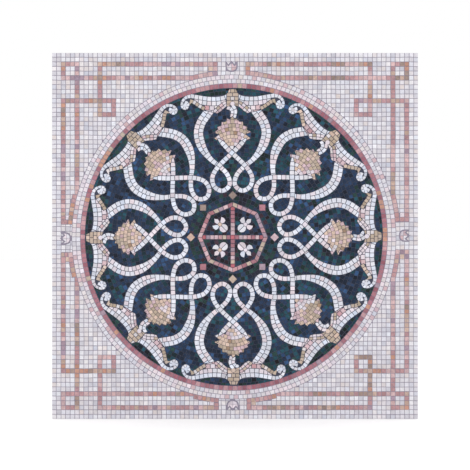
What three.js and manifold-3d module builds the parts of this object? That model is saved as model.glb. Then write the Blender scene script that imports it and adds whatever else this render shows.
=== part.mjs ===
// Square mosaic panel: small stone tesserae in a bed of mortar. A cream field with a one-tile border line
// surrounds a round medallion of eight lobes, each with a knotted scroll, a leaf, a stem and a bud, about an
// octagon with four flowers.
//
// Millimetres. +X is right and +Z is up along the panel, the face looks along -Y, and the origin is the
// middle of the back. Each figure is one solid, flush with the face and let into the plate behind it.

import * as THREE from 'three';
import { mergeVertices } from 'three/addons/utils/BufferGeometryUtils.js';
import Module from 'manifold-3d';

const wasm = await Module();
wasm.setup();

// ---------------------------------------------------------------- driving dimensions, in millimetres

const PANEL_SIDE = 900;
const PANEL_DEPTH = 20;
const BED_DEPTH = 10; // mortar behind the stones
const JOINT = 1.2; // grout joint round every figure
const SEAT_GAP = 0.3; // between a stone and what it sits on
const WEB = 2; // bedding left behind a figure that is let into a plate

const TILES_ACROSS = 80;
const TILE = PANEL_SIDE / TILES_ACROSS; // one tessera with its joint

// Depths along Y, from the back at 0 to the face.
const FACE = -PANEL_DEPTH;
const BED_FACE = -BED_DEPTH;
const FIELD_BACK = BED_FACE - SEAT_GAP;
const FIELD_POCKET = FIELD_BACK - WEB;
const INLAY_BACK = FIELD_POCKET - SEAT_GAP;
const GROUND_POCKET = INLAY_BACK - WEB;
const FIGURE_BACK = GROUND_POCKET - SEAT_GAP;

// ---------------------------------------------------------------- the drawing, in tiles

// The medallion sits a little left of and below the panel's middle, and its own middle group a little more.
const MEDALLION_CENTRE = new THREE.Vector2(-0.24, -0.23);
const MIDDLE_CENTRE = new THREE.Vector2(-0.5, -0.3);
const HALF_PANEL = TILES_ACROSS / 2;

// Rings of the medallion, by the joints between them.
const GROUND_RADIUS = 32.5;
const RED_RING_RADIUS = 33.55;
const CREAM_RING_RADIUS = 35.4;
const RING_SIDES = 32;

// Border line, counted in rows of tiles from the panel's edge.
const OUTER_ROW = 2;
const INNER_ROW = 5;
const CORNER_SQUARE = 4;
const CROSSING_ROW = 10;
const SIDE_GAP = 3.05; // from the centre of a side's small bud to the ends of the line beside it
const BUD_ROW = 3.1; // centre of that bud, in from the edge
const BUD_AT = { top: -0.75, right: 0.05, bottom: -0.5, left: -0.55 }; // along its side, from its middle

const LOBES = 8;
const LOBE_ANGLE = (2 * Math.PI) / LOBES;

// Centre line of a lobe's right-hand ribbon. x is across the lobe's axis, y is outwards along it.
const RIBBON_DOWN = [[-4.1, 21.5], [-2.7, 21.3], [-0.2, 18.6]];
const RIBBON_KNOT = [2.9, 15.6];
const RIBBON_LOOP = [[4.4, 13.2], [3.95, 11.1], [2.35, 10.15], [0.65, 11.2], [0.6, 13.1]];
const RIBBON_UP = [[5.6, 18.1], [7.25, 21.6], [7.1, 24.6], [5.1, 27.7]];
const RIBBON_TIP_WIDTH = 0.4;
const RIBBON_NARROW = 1.05;
const RIBBON_WIDE = 2.1;
const WIDENING_FROM = 16; // distance from the centre where the ribbon starts to widen
const WIDENING_TO = 22;

const VOLUTE_CENTRE = new THREE.Vector2(10.4, 28.85);
const VOLUTE_RADIUS = 1.0;
const VOLUTE_STEPS = 2; // pairs of straight sides round a volute
const STEM_WIDTH = 1.4;

const OCTAGON_RADIUS = 7.2; // to the middle of the line at a corner
const OCTAGON_LINE = 0.9;
const CROSS_LINE = 0.95;
const SQUARE_DISTANCE = 9.15;
const SQUARE_HALF_DIAGONAL = 1.0;

// ---------------------------------------------------------------- stones

function stone(colour) {
  return new THREE.MeshStandardMaterial({ color: colour, roughness: 0.6, metalness: 0 });
}

const MORTAR = new THREE.MeshStandardMaterial({ color: 0x9d968f, roughness: 0.95, metalness: 0 });
const CREAM = stone(0xcbc6ca);
const ROSE = stone(0xa6818a);
const DARK = stone(0x27364a);
const WHITE = stone(0xdcdbe2);
const GOLD = stone(0xc8b39a);
const BLUSH = stone(0xcbb3ae);
const SALMON = stone(0xbf8f8c);

// ---------------------------------------------------------------- solids from outlines

// Welds a geometry's shared corners and gives it to the boolean library.
function solidFrom(geometry) {
  const bare = new THREE.BufferGeometry();
  bare.setAttribute('position', geometry.getAttribute('position'));
  bare.setIndex(geometry.index);
  const welded = mergeVertices(bare);
  const triVerts = new Uint32Array(welded.index.array);
  const vertProperties = welded.getAttribute('position').array;
  return new wasm.Manifold(new wasm.Mesh({ numProp: 3, vertProperties, triVerts }));
}

// A prism with this outline, given in tiles, between two depths. Holes are outlines too.
function prism(outline, back, face, holes = []) {
  const scaled = (points) => points.map((point) => point.clone().multiplyScalar(TILE));
  const shape = new THREE.Shape(scaled(outline));
  shape.holes = holes.map((hole) => new THREE.Path(scaled(hole)));
  const geometry = new THREE.ExtrudeGeometry(shape, { depth: back - face, bevelEnabled: false });
  geometry.rotateX(Math.PI / 2);
  geometry.translate(0, back, 0);
  return solidFrom(geometry);
}

// Joins solids that all run from back to face. Meeting a blank of the same depth leaves each end face in one
// piece, without the seams of the parts.
function unite(solids, back, face) {
  const blank = prism(rectangle(-HALF_PANEL, -HALF_PANEL, HALF_PANEL, HALF_PANEL, 0), back, face);
  return solids.reduce((whole, solid) => whole.add(solid)).intersect(blank);
}

function prisms(outlines, back, face) {
  return unite(outlines.map((outline) => prism(outline, back, face)), back, face);
}

function geometryFrom(solid) {
  const { vertProperties, triVerts } = solid.getMesh();
  const geometry = new THREE.BufferGeometry();
  geometry.setAttribute('position', new THREE.BufferAttribute(vertProperties, 3));
  geometry.setIndex(new THREE.BufferAttribute(triVerts, 1));
  geometry.computeVertexNormals();
  return geometry;
}

function mesh(name, geometry, material) {
  const part = new THREE.Mesh(geometry, material);
  part.name = name;
  return part;
}

// The same solid after a turn about Y, clockwise seen from the front, and a shift given in tiles.
function moved(solid, turn, shift = new THREE.Vector2()) {
  const geometry = geometryFrom(solid);
  geometry.rotateY(turn);
  geometry.translate(shift.x * TILE, 0, shift.y * TILE);
  return solidFrom(geometry);
}

// ---------------------------------------------------------------- outlines

const toPoints = (pairs) => pairs.map(([x, y]) => new THREE.Vector2(x, y));
const mirrored = (points) => points.map((point) => new THREE.Vector2(-point.x, point.y));

// A stone stops half a joint inside its outline, and the pocket for it starts half a joint outside.
const HALF_JOINT = JOINT / 2 / TILE;
const STONE = -HALF_JOINT;
const POCKET = HALF_JOINT;

// Moves every side of a closed outline outwards by a distance, or inwards by a negative one.
function grown(points, distance) {
  const side = THREE.ShapeUtils.isClockWise(points) ? 1 : -1;
  const count = points.length;
  return points.map((point, index) => {
    const before = point.clone().sub(points[(index + count - 1) % count]).normalize();
    const after = points[(index + 1) % count].clone().sub(point).normalize();
    const normalBefore = new THREE.Vector2(-before.y, before.x);
    const normalAfter = new THREE.Vector2(-after.y, after.x);
    const mitre = normalBefore.clone().add(normalAfter).normalize();
    const stretch = 1 / Math.max(mitre.dot(normalBefore), 0.5);
    return point.clone().addScaledVector(mitre, side * distance * stretch);
  });
}

function rectangle(left, bottom, right, top, margin) {
  return toPoints([
    [left - margin, bottom - margin],
    [right + margin, bottom - margin],
    [right + margin, top + margin],
    [left - margin, top + margin],
  ]);
}

function polygon(radius, sides, firstAngle = 0) {
  return Array.from({ length: sides }, (_, index) => {
    const angle = firstAngle + (index * 2 * Math.PI) / sides;
    return new THREE.Vector2(radius * Math.cos(angle), radius * Math.sin(angle));
  });
}

// A whole outline from its right half, which runs from the axis out and back to the axis.
function doubled(half) {
  const inner = half.slice(1, -1);
  return half.concat(mirrored(inner).reverse());
}

// ---------------------------------------------------------------- border

// Half of a corner's border line, from the corner to its end beside a side's bud. Points run along the side
// and in from the edge, and the medallion's centre and the line's end are given in the same way.
function halfLine(centreAlong, centreIn, end, margin) {
  const arcDepth = (radius, along) => centreIn - Math.sqrt(radius * radius - (centreAlong - along) ** 2);
  const arcStart = (radius, depth) => centreAlong - Math.sqrt(radius * radius - (centreIn - depth) ** 2);

  // The inner line leaves its row where the medallion's ring reaches it, and bends to follow the ring.
  const edge = (radius, depth) => [
    new THREE.Vector2(OUTER_ROW - margin, depth),
    new THREE.Vector2(arcStart(radius, depth), depth),
    new THREE.Vector2(end + margin, arcDepth(radius, end + margin)),
  ];
  const upperEdge = edge(CREAM_RING_RADIUS + 1 + margin, INNER_ROW - margin);
  const lowerEdge = edge(CREAM_RING_RADIUS - margin, INNER_ROW + 1 + margin);
  const innerLine = upperEdge.concat(lowerEdge.reverse());

  const capFoot = arcDepth(CREAM_RING_RADIUS + 0.5, end);
  const squareEnd = CROSSING_ROW + CORNER_SQUARE;
  return [
    innerLine,
    rectangle(CROSSING_ROW, OUTER_ROW, end, OUTER_ROW + 1, margin),
    rectangle(end - 1, OUTER_ROW, end, capFoot, margin),
    rectangle(OUTER_ROW, OUTER_ROW, OUTER_ROW + CORNER_SQUARE, OUTER_ROW + 1, margin),
    rectangle(OUTER_ROW, CROSSING_ROW, squareEnd, CROSSING_ROW + 1, margin),
    rectangle(CROSSING_ROW, squareEnd - 1, squareEnd, squareEnd, margin),
  ];
}

// The whole line of one corner. right and up are 1 or -1 and say which corner it is.
function cornerLine(right, up, margin) {
  const centreAcross = HALF_PANEL - right * MEDALLION_CENTRE.x;
  const centreDown = HALF_PANEL - up * MEDALLION_CENTRE.y;
  const levelEnd = HALF_PANEL - right * BUD_AT[up > 0 ? 'top' : 'bottom'] - SIDE_GAP;
  const uprightEnd = HALF_PANEL - up * BUD_AT[right > 0 ? 'right' : 'left'] - SIDE_GAP;
  const onPanel = (column, row) => new THREE.Vector2(right * (HALF_PANEL - column), up * (HALF_PANEL - row));
  const level = halfLine(centreAcross, centreDown, levelEnd, margin);
  const upright = halfLine(centreDown, centreAcross, uprightEnd, margin);
  return [
    ...level.map((outline) => outline.map(({ x, y }) => onPanel(x, y))),
    ...upright.map((outline) => outline.map(({ x, y }) => onPanel(y, x))),
  ];
}

// The small tulip in the gap of a side, its three points towards the panel's edge.
function sideBud(margin) {
  const half = toPoints([[0, -1.05], [0.85, -0.9], [1.3, -0.3], [1.3, 1.2], [0.7, 0.55], [0, 1.25]]);
  return grown(doubled(half), margin);
}

// ---------------------------------------------------------------- one lobe of the medallion

// A band along a smooth line through knots, from one knot to another. widthAt gives its width at a knot.
function band(knots, first, last, widthAt, margin) {
  const line = new THREE.SplineCurve(knots);
  const left = [];
  const right = [];
  for (let knot = first; knot <= last; knot += 1) {
    const along = line.getTangent(knot / (knots.length - 1));
    const across = new THREE.Vector2(-along.y, along.x);
    const half = widthAt(knot) / 2 + margin;
    left.push(knots[knot].clone().addScaledVector(across, half));
    right.push(knots[knot].clone().addScaledVector(across, -half));
  }
  return left.concat(right.reverse());
}

// Two ribbons that cross under the bud. Each starts in a barb beside the bud, goes down, round its loop,
// through its knot and up to the leaf. It is cut at the loop's foot, because it crosses itself at the knot.
function scroll(margin) {
  const knots = toPoints([...RIBBON_DOWN, RIBBON_KNOT, ...RIBBON_LOOP, RIBBON_KNOT, ...RIBBON_UP]);
  const foot = RIBBON_DOWN.length + Math.ceil(RIBBON_LOOP.length / 2);
  const upStart = knots.length - RIBBON_UP.length;
  const widthAt = (knot) => {
    const widening = THREE.MathUtils.smoothstep(knots[knot].y, WIDENING_FROM, WIDENING_TO);
    const width = THREE.MathUtils.lerp(RIBBON_NARROW, RIBBON_WIDE, knot < upStart ? 0 : widening);
    return knot === 0 ? RIBBON_TIP_WIDTH : width;
  };
  const last = knots.length - 1;
  const right = [band(knots, 0, foot, widthAt, margin), band(knots, foot, last, widthAt, margin)];
  return right.concat(right.map(mirrored));
}

// The leaf above the lobe: a pointed tip on the rim, two hollow shoulders, and a volute at each end.
function palmette(margin) {
  const half = new THREE.Path();
  half.moveTo(0, 33.0);
  half.lineTo(0.7, 32.6);
  half.lineTo(2.2, 30.8);
  half.lineTo(5.6, 30.75);
  half.lineTo(9.0, 31.3);
  half.lineTo(11.1, 30.3);
  half.absarc(VOLUTE_CENTRE.x, VOLUTE_CENTRE.y, VOLUTE_RADIUS, Math.PI / 6, Math.PI, true);
  half.lineTo(6.4, 27.7);
  half.lineTo(3.3, 27.0);
  half.lineTo(0, 28.9);
  return grown(doubled(half.getPoints(VOLUTE_STEPS)), margin);
}

// The bud in the lobe: a jagged crown, tapering to the crossing of the ribbons.
function bud(margin) {
  const half = toPoints([[0, 26.1], [1.4, 25.6], [4.0, 22.9], [2.9, 22.35], [2.3, 21.75], [0, 19.25]]);
  return grown(doubled(half), margin);
}

// The short curved stem between leaf and bud. It bends the same way in every lobe.
function stem(margin) {
  const knots = toPoints([[-0.7, 28.75], [0.55, 28.0], [0.15, 26.2]]);
  return band(knots, 0, knots.length - 1, () => STEM_WIDTH, margin);
}

// ---------------------------------------------------------------- the middle of the medallion

// Octagon and cross, one line wide. The cross runs from corner to corner.
function octagonFrame(margin) {
  const corner = OCTAGON_LINE / 2 / Math.cos(LOBE_ANGLE / 2);
  const grow = margin / Math.cos(LOBE_ANGLE / 2);
  const outside = polygon(OCTAGON_RADIUS + corner + grow, LOBES);
  const inside = polygon(OCTAGON_RADIUS - corner - grow, LOBES);
  const arm = CROSS_LINE / 2;
  const bars = [
    rectangle(-OCTAGON_RADIUS, -arm, OCTAGON_RADIUS, arm, margin),
    rectangle(-arm, -OCTAGON_RADIUS, arm, OCTAGON_RADIUS, margin),
  ];
  return { outside, inside, bars };
}

// A flower in the octagon's upper right quarter: one round petal inwards and three pointed ones outwards.
function flower(margin) {
  const half = toPoints([[0, 1.6], [0.9, 2.1], [0.75, 3.3], [2.1, 3.9], [0.75, 4.3], [0, 5.5]]);
  return grown(doubled(half), margin);
}

function smallSquare(margin) {
  const radius = SQUARE_HALF_DIAGONAL + margin * Math.SQRT2;
  return polygon(radius, 4).map((point) => new THREE.Vector2(point.x, point.y + SQUARE_DISTANCE));
}

// ---------------------------------------------------------------- plates and rings

const PAST_FACE = FACE - 1; // pockets are cut a little past the face

const disc = (radius) => polygon(radius, RING_SIDES);
const ringSolid = (inside, outside) =>
  prism(disc(outside - HALF_JOINT), INLAY_BACK, FACE, [disc(inside + HALF_JOINT)]);

function octagonSolid(margin, back, face) {
  const { outside, inside, bars } = octagonFrame(margin);
  return unite([prism(outside, back, face, [inside]), prisms(bars, back, face)], back, face);
}

const CORNERS = [
  { name: 'top_left', right: -1, up: 1 },
  { name: 'top_right', right: 1, up: 1 },
  { name: 'bottom_right', right: 1, up: -1 },
  { name: 'bottom_left', right: -1, up: -1 },
];
const SIDES = ['top', 'right', 'bottom', 'left'];
const QUARTER = Math.PI / 2;

// Where a side's bud stands: near the middle of its side, the same distance in from each edge.
function sideBudPlace(index) {
  const along = BUD_AT[SIDES[index]];
  const reach = (index < 2 ? 1 : -1) * (HALF_PANEL - BUD_ROW);
  return index % 2 === 0 ? new THREE.Vector2(along, reach) : new THREE.Vector2(reach, along);
}

// ---------------------------------------------------------------- figures of one lobe, as solids

const palmetteStone = prism(palmette(STONE), FIGURE_BACK, FACE)
  .intersect(prism(disc(GROUND_RADIUS - HALF_JOINT), FIGURE_BACK, FACE));
const palmettePocket = prism(palmette(POCKET), GROUND_POCKET, PAST_FACE);
const scrollPocket = prisms(scroll(POCKET), GROUND_POCKET, PAST_FACE);
const budPocket = prism(bud(POCKET), GROUND_POCKET, PAST_FACE);
const stemPocket = prism(stem(POCKET), GROUND_POCKET, PAST_FACE);

const scrollStone = prisms(scroll(STONE), FIGURE_BACK, FACE).subtract(palmettePocket);
const budStone = prism(bud(STONE), FIGURE_BACK, FACE);
const stemStone = prism(stem(STONE), FIGURE_BACK, FACE).subtract(budPocket).subtract(palmettePocket);
const squareStone = prism(smallSquare(STONE), FIGURE_BACK, FACE);
const squarePocket = prism(smallSquare(POCKET), GROUND_POCKET, PAST_FACE);
const flowerStone = prism(flower(STONE), FIGURE_BACK, FACE);
const flowerPocket = prism(flower(POCKET), GROUND_POCKET, PAST_FACE);
const octagonStone = octagonSolid(STONE, FIGURE_BACK, FACE);
const octagonPocket = octagonSolid(POCKET, GROUND_POCKET, PAST_FACE);

// ---------------------------------------------------------------- assembly

const panel = new THREE.Group();
const medallion = new THREE.Group();
const middle = new THREE.Group();
const middleShift = MIDDLE_CENTRE.clone().sub(MEDALLION_CENTRE);
medallion.position.set(MEDALLION_CENTRE.x * TILE, 0, MEDALLION_CENTRE.y * TILE);
middle.position.set(middleShift.x * TILE, 0, middleShift.y * TILE);
medallion.add(middle);
panel.add(medallion);

const wholePanel = rectangle(-HALF_PANEL, -HALF_PANEL, HALF_PANEL, HALF_PANEL, 0);
panel.add(mesh('mortar_bed', geometryFrom(prism(wholePanel, 0, BED_FACE)), MORTAR));

const medallionOutline = disc(CREAM_RING_RADIUS + HALF_JOINT).map((point) => point.add(MEDALLION_CENTRE));
const medallionPocket = prism(medallionOutline, FIELD_POCKET, PAST_FACE);
let field = prism(wholePanel, FIELD_BACK, FACE).subtract(medallionPocket);

CORNERS.forEach(({ name, right, up }) => {
  const line = prisms(cornerLine(right, up, STONE), INLAY_BACK, FACE).subtract(medallionPocket);
  panel.add(mesh(`border_line_${name}`, geometryFrom(line), ROSE));
  field = field.subtract(prisms(cornerLine(right, up, POCKET), FIELD_POCKET, PAST_FACE));
});

SIDES.forEach((name, index) => {
  const place = sideBudPlace(index);
  const tulip = geometryFrom(prism(sideBud(STONE), INLAY_BACK, FACE));
  const part = mesh(`side_bud_${name}`, tulip, BLUSH);
  part.rotation.y = index * QUARTER;
  part.position.set(place.x * TILE, 0, place.y * TILE);
  panel.add(part);
  field = field.subtract(moved(prism(sideBud(POCKET), FIELD_POCKET, PAST_FACE), index * QUARTER, place));
});

panel.add(mesh('cream_field', geometryFrom(field), CREAM));
medallion.add(mesh('cream_ring', geometryFrom(ringSolid(RED_RING_RADIUS, CREAM_RING_RADIUS)), CREAM));
medallion.add(mesh('red_ring', geometryFrom(ringSolid(GROUND_RADIUS, RED_RING_RADIUS)), ROSE));

let ground = prism(disc(GROUND_RADIUS - HALF_JOINT), INLAY_BACK, FACE);
const lobePockets = [palmettePocket, scrollPocket, budPocket, stemPocket];
const lobePocket = unite(lobePockets, GROUND_POCKET, PAST_FACE);

for (let index = 0; index < LOBES; index += 1) {
  const turn = index * LOBE_ANGLE;
  const lobe = new THREE.Group();
  lobe.rotation.y = turn;
  lobe.add(mesh(`scroll_${index + 1}`, geometryFrom(scrollStone), WHITE));
  lobe.add(mesh(`palmette_${index + 1}`, geometryFrom(palmetteStone), WHITE));
  lobe.add(mesh(`stem_${index + 1}`, geometryFrom(stemStone), WHITE));
  lobe.add(mesh(`bud_${index + 1}`, geometryFrom(budStone), GOLD));
  medallion.add(lobe);
  ground = ground.subtract(moved(lobePocket, turn));

  const square = mesh(`small_square_${index + 1}`, geometryFrom(squareStone), BLUSH);
  square.rotation.y = turn;
  middle.add(square);
  ground = ground.subtract(moved(squarePocket, turn, middleShift));
}

for (let index = 0; index < SIDES.length; index += 1) {
  const turn = index * QUARTER + QUARTER / 2;
  const part = mesh(`flower_${index + 1}`, geometryFrom(flowerStone), WHITE);
  part.rotation.y = turn;
  middle.add(part);
  ground = ground.subtract(moved(flowerPocket, turn, middleShift));
}

middle.add(mesh('octagon_cross', geometryFrom(octagonStone), SALMON));
ground = ground.subtract(moved(octagonPocket, 0, middleShift));
medallion.add(mesh('medallion_ground', geometryFrom(ground), DARK));

export default panel;
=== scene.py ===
"""A square mosaic panel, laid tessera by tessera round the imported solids.

The plan is drawn in tiles, with x to the right and y up, and each stone is a flat outline in that plan. The
outlines are then given depth, worn arrises, a slight tilt and a tone of their own.
"""

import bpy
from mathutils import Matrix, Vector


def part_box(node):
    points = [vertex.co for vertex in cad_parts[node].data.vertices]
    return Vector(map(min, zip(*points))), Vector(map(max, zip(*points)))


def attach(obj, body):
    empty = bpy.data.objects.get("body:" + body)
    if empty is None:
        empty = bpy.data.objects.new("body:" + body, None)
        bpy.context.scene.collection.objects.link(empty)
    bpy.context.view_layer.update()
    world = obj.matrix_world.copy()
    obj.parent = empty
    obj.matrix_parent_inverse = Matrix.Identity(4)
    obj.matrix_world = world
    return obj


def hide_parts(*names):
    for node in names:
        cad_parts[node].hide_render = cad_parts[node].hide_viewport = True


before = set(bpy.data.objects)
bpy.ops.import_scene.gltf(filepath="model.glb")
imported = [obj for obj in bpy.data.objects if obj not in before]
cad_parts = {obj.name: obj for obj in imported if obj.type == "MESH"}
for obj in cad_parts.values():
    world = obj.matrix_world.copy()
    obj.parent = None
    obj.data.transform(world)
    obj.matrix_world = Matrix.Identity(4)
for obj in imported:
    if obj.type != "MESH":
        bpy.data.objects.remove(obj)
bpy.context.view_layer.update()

import math
import random
from collections import defaultdict, namedtuple

import bpy
from bpy.props import FloatProperty, FloatVectorProperty, IntProperty, PointerProperty
from bpy.types import Operator, Panel, PropertyGroup
from mathutils import Vector, noise
from mathutils.geometry import delaunay_2d_cdt

bl_info = {
    "name": "Mosaic Medallion Panel",
    "version": (1, 0, 0),
    "blender": (4, 5, 0),
    "location": "View3D > Sidebar > Mosaic",
    "description": "Lays a square stone mosaic with a round medallion, tessera by tessera",
    "category": "Add Mesh",
}

# ---------------------------------------------------------------- places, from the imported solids

BED_LOW, BED_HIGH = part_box("mortar_bed")
FIELD_LOW, FIELD_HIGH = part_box("cream_field")
PANEL_SIDE = BED_HIGH[0] - BED_LOW[0]
TILES_ACROSS = 80
TILE = PANEL_SIDE / TILES_ACROSS
HALF_PANEL = TILES_ACROSS / 2
FACE_DEPTH = FIELD_LOW[1]
JOINT = 0.0012
HALF_JOINT = JOINT / 2 / TILE


def plan_box(node):
    """A solid's centre in the plan and half its width, in tiles."""
    low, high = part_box(node)
    centre = Vector(((low[0] + high[0]) / 2, (low[2] + high[2]) / 2)) / TILE
    return centre, (high[0] - low[0]) / 2 / TILE


MEDALLION_CENTRE, GROUND_HALF = plan_box("medallion_ground")
MIDDLE_CENTRE, OCTAGON_HALF = plan_box("octagon_cross")
GROUND_RADIUS = GROUND_HALF + HALF_JOINT
RED_RING_RADIUS = plan_box("red_ring")[1] + HALF_JOINT
CREAM_RING_RADIUS = plan_box("cream_ring")[1] + HALF_JOINT

LOBES = 8
LOBE_ANGLE = 2 * math.pi / LOBES
SIDES = ("top", "right", "bottom", "left")
SIDE_BUD_PLACES = {side: plan_box(f"side_bud_{side}")[0] for side in SIDES}
CORNERS = (("top_left", -1, 1), ("top_right", 1, 1), ("bottom_right", 1, -1), ("bottom_left", -1, -1))

# ---------------------------------------------------------------- the drawing, in tiles

# Border line, counted in rows of tiles from the panel's edge.
OUTER_ROW = 2
INNER_ROW = 5
CORNER_SQUARE = 4
CROSSING_ROW = 10
LAST_WHOLE_TILE = 34  # beyond it, the outer line's stones are cut to fit
SIDE_GAP = 3.05  # from the middle of a side's bud to the ends of the line
BEND_STEPS = 24
ACCENT = 1.05  # length of the pale stone inside an end of the line

# Middle line of a lobe's right-hand ribbon, from its barb beside the bud, down round the loop, through the
# knot and up to the leaf. x is across the lobe's axis and y outwards along it.
RIBBON = [
    (-3.1, 21.5), (-2.6, 21.0), (-2.0, 20.4), (-0.6, 18.9), (0.85, 17.6), (2.88, 15.6),
    (4.0, 14.0), (4.37, 12.6), (3.85, 11.0), (2.3, 10.15), (0.9, 10.9), (0.53, 12.2), (1.25, 14.0),
    (2.88, 15.6), (4.6, 17.0), (6.2, 19.0), (7.1, 21.0), (7.4, 23.0), (6.85, 25.0), (5.87, 26.5),
    (4.8, 28.0), (4.1, 29.3),
]  # fmt: skip
LOOP_FOOT = 9  # the knot at which the ribbon is cut into its way down and its way up
KNOT_AFTER_FOOT = 4  # knots further on, where the ribbon crosses itself
RIBBON_TIP = 0.35
RIBBON_TAPER = 1.4
RIBBON_NARROW = 1.05
RIBBON_WIDE = 2.1
WIDENING = (16.0, 21.0)
RIBBON_STONE = 0.98
TWO_ROWS_FROM = 1.5  # a ribbon wider than this has two rows of stones

# Right half of the leaf's outline: the hollow shoulder, the curl of its volute, and its underside.
SHOULDER = [
    (0.0, 32.55), (0.5, 32.45), (0.88, 32.0), (1.1, 31.5), (1.6, 31.05), (2.4, 30.8), (3.6, 30.65),
    (5.3, 30.7),
    (7.2, 31.0), (9.0, 31.3),
]  # fmt: skip
CURL = [(10.3, 30.95), (11.1, 30.1), (11.43, 29.0), (11.15, 28.15), (10.4, 27.8), (9.7, 28.1), (9.4, 28.85)]
UNDERSIDE = [
    (9.0, 29.3), (8.4, 29.0), (7.6, 28.4), (6.4, 27.7), (4.9, 27.4), (3.3, 27.0), (2.5, 27.5), (1.5, 28.4),
]  # fmt: skip
LEAF_FOOT = (0.0, 28.9)

# The leaf's golden tip, in rows that break joint, over a round stone.
TIP_FOOT = 28.2
TIP_ROW = 0.82
TIP_ROWS = 6
TIP_HALF = 1.3
TIP_JOINTS = ((-TIP_HALF, -0.45, 0.45, TIP_HALF), (-TIP_HALF, 0.0, TIP_HALF))
ROUND_STONE = ((0.0, 29.1), 0.5)  # its middle and its radius

# The leaf's wing: rows along its shoulder, a rib out of the tip, a golden lower edge, and a volute.
WING_FROM = 3  # the knot of the shoulder at which the wing leaves the tip
WING_ROW = 0.98
WING_KINDS = ("leaf_middle", "leaf_low", "leaf_low", "leaf_low")
CURL_NARROWING = 0.33
CURL_END = [(9.7, 29.55), (10.35, 29.85)]
CURL_EYE = ((10.4, 28.85), 0.42)
RIB = [(1.3, 29.3), (2.2, 28.7), (3.0, 28.0), (3.9, 27.2)]
LOWER_EDGE = [(6.0, 28.2), (7.3, 28.95), (8.3, 29.7), (9.3, 30.0)]
RIBBON_MEETS = ((4.9, 27.9), 0.95)  # where the ribbon meets the leaf, and how far its pink stones reach

BUD_CROWN = [
    (0.0, 26.35), (0.6, 25.75), (1.25, 26.0), (1.5, 25.2), (2.35, 25.2), (2.4, 24.4), (3.35, 24.2),
    (3.2, 23.45), (4.2, 22.9),
]  # fmt: skip
CROWN_FOOT = 22.3  # the bud's stones are golden above it and paler below
BUD_BASE = [(2.9, 22.45), (4.15, 21.6), (3.1, 21.1), (1.75, 20.0), (0.0, 18.4)]
STEM = [(-1.1, 28.7), (-0.2, 28.35), (0.35, 27.45), (0.1, 26.05)]
STEM_WIDTH = 1.55
STEM_STONE = 0.85

SCALE = 0.8  # size of a bud's stones
BUD_JOINT = 0.06  # they are set close
SCALES_FROM, SCALES_TO = 1.2, 9.3  # first and last course, measured from where the courses centre
SCALES_CENTRE = (0.0, 17.6)
SCALES_HALF_ANGLE = 70  # degrees

LEANING = 16.0  # how far in from the rim the lobes' figures come to stand about the octagon's middle
LOBE_LEANS = (-0.5, -0.2, -0.3, 0.0, 0.1, 0.1, -0.3, -0.4)  # degrees clockwise off a lobe's even place
OCTAGON_LINE = 0.9
STONES_PER_SIDE = 5
STONES_PER_ARM = 7
CROSS_LINE = 0.95
SQUARE_DISTANCE = 9.15
SQUARE_HALF_DIAGONAL = 1.0
SIDE_BUD = [
    (0.0, -1.15), (0.55, -1.08), (1.0, -0.82), (1.25, -0.35), (1.3, 0.3), (1.3, 1.1), (0.7, 0.4), (0.0, 1.15),
]  # fmt: skip
ROUND_PETAL = (2.8, 0.92)  # its middle and its radius
FLOWER_HEART = (3.95, 0.42)
SIDE_PETAL = [(0.3, 3.8), (0.95, 3.55), (1.5, 3.7), (1.65, 4.3), (1.4, 4.95), (0.95, 4.65), (0.35, 4.25)]
TIP_PETAL = [(0.0, 5.75), (0.2, 5.45), (0.52, 5.1), (0.42, 4.6), (0.3, 4.3), (0.0, 4.2)]
BUD_OUTLINE = 0.22  # width of the dark line round a side bud

# The dark ground's rings of stones, and where their colours change, in tiles.
FEWEST_STONES = 5  # in a ring
RIM_STONE = 0.55  # depth of the ground's outermost row
GROUND_ROW = 0.9
GROUND_STONE = 0.92
GROUND_STRAY = 0.17  # how far a joint strays along its ring, as a share of a stone
HUB = 0.05  # the innermost stones end this far from the middle
OCTAGON_REACH = 6.7
MIDDLE_REACH = 10
RIM_FROM = 28.5
LOOP_HALF, LOOP_FROM, LOOP_TO = 6, 16, 25  # the space round a bud
RING_SIDES = 240
CUT_SIDES = 160

# The field's joints stray by a soft noise.
DRIFT_PACE = 0.41
DRIFT_STRENGTH = 1.6
DRIFT_LAYERS = (1, 20)
FIELD_UNDER_RING = 1.2  # whole stones are laid this far under the rings, and cut there

# The bed and the grout, in metres.
BED_EDGE = 0.0004
GROUT_EDGE = 0.0007
EDGE_STONE_GAP = 0.0015  # between the bed and the backs of the stones on the panel's edge
DARK_GROUT_PAST = 0.1  # tiles past the ground's rim

# How a stone is trimmed.
SMALLEST_STONE = 0.065  # square tiles
THINNEST_STONE = 0.13
CLOSEST_CORNERS = 0.03
SMALLEST_TURN = 0.02  # sine of the turn that still counts as a corner
SHARPEST_CORNER = math.radians(50)
BLUNT_CUT = 0.16
UNDER_HALF = 0.45  # most of a side that one cut may take
SHARPEST_MITRE = 0.45

Stone = namedtuple("Stone", "outline kind")

# ---------------------------------------------------------------- plane geometry


def points(pairs):
    return [Vector(pair) for pair in pairs]


def mirrored(outline):
    return [Vector((-point.x, point.y)) for point in outline]


def doubled(half):
    """A whole outline from its right half, which runs from the axis out and back to it."""
    return half + mirrored(half[1:-1])[::-1]


def turned(point, angle, shift=Vector((0, 0))):
    """A point of the plan after a clockwise turn about the origin, then a shift."""
    cosine, sine = math.cos(angle), math.sin(angle)
    return Vector((point.x * cosine + point.y * sine, point.y * cosine - point.x * sine)) + shift


def sides_of(outline):
    """Each corner of a closed outline with the next."""
    return zip(outline, outline[1:] + outline[:1])


def corners_of(outline):
    """Each corner of a closed outline with the one before and the one after."""
    return zip(outline[-1:] + outline[:-1], outline, outline[1:] + outline[:1])


def signed_area(outline):
    return sum(a.cross(b) for a, b in sides_of(outline)) / 2


def middle_of(outline):
    return sum(outline, Vector((0, 0))) / len(outline)


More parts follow.
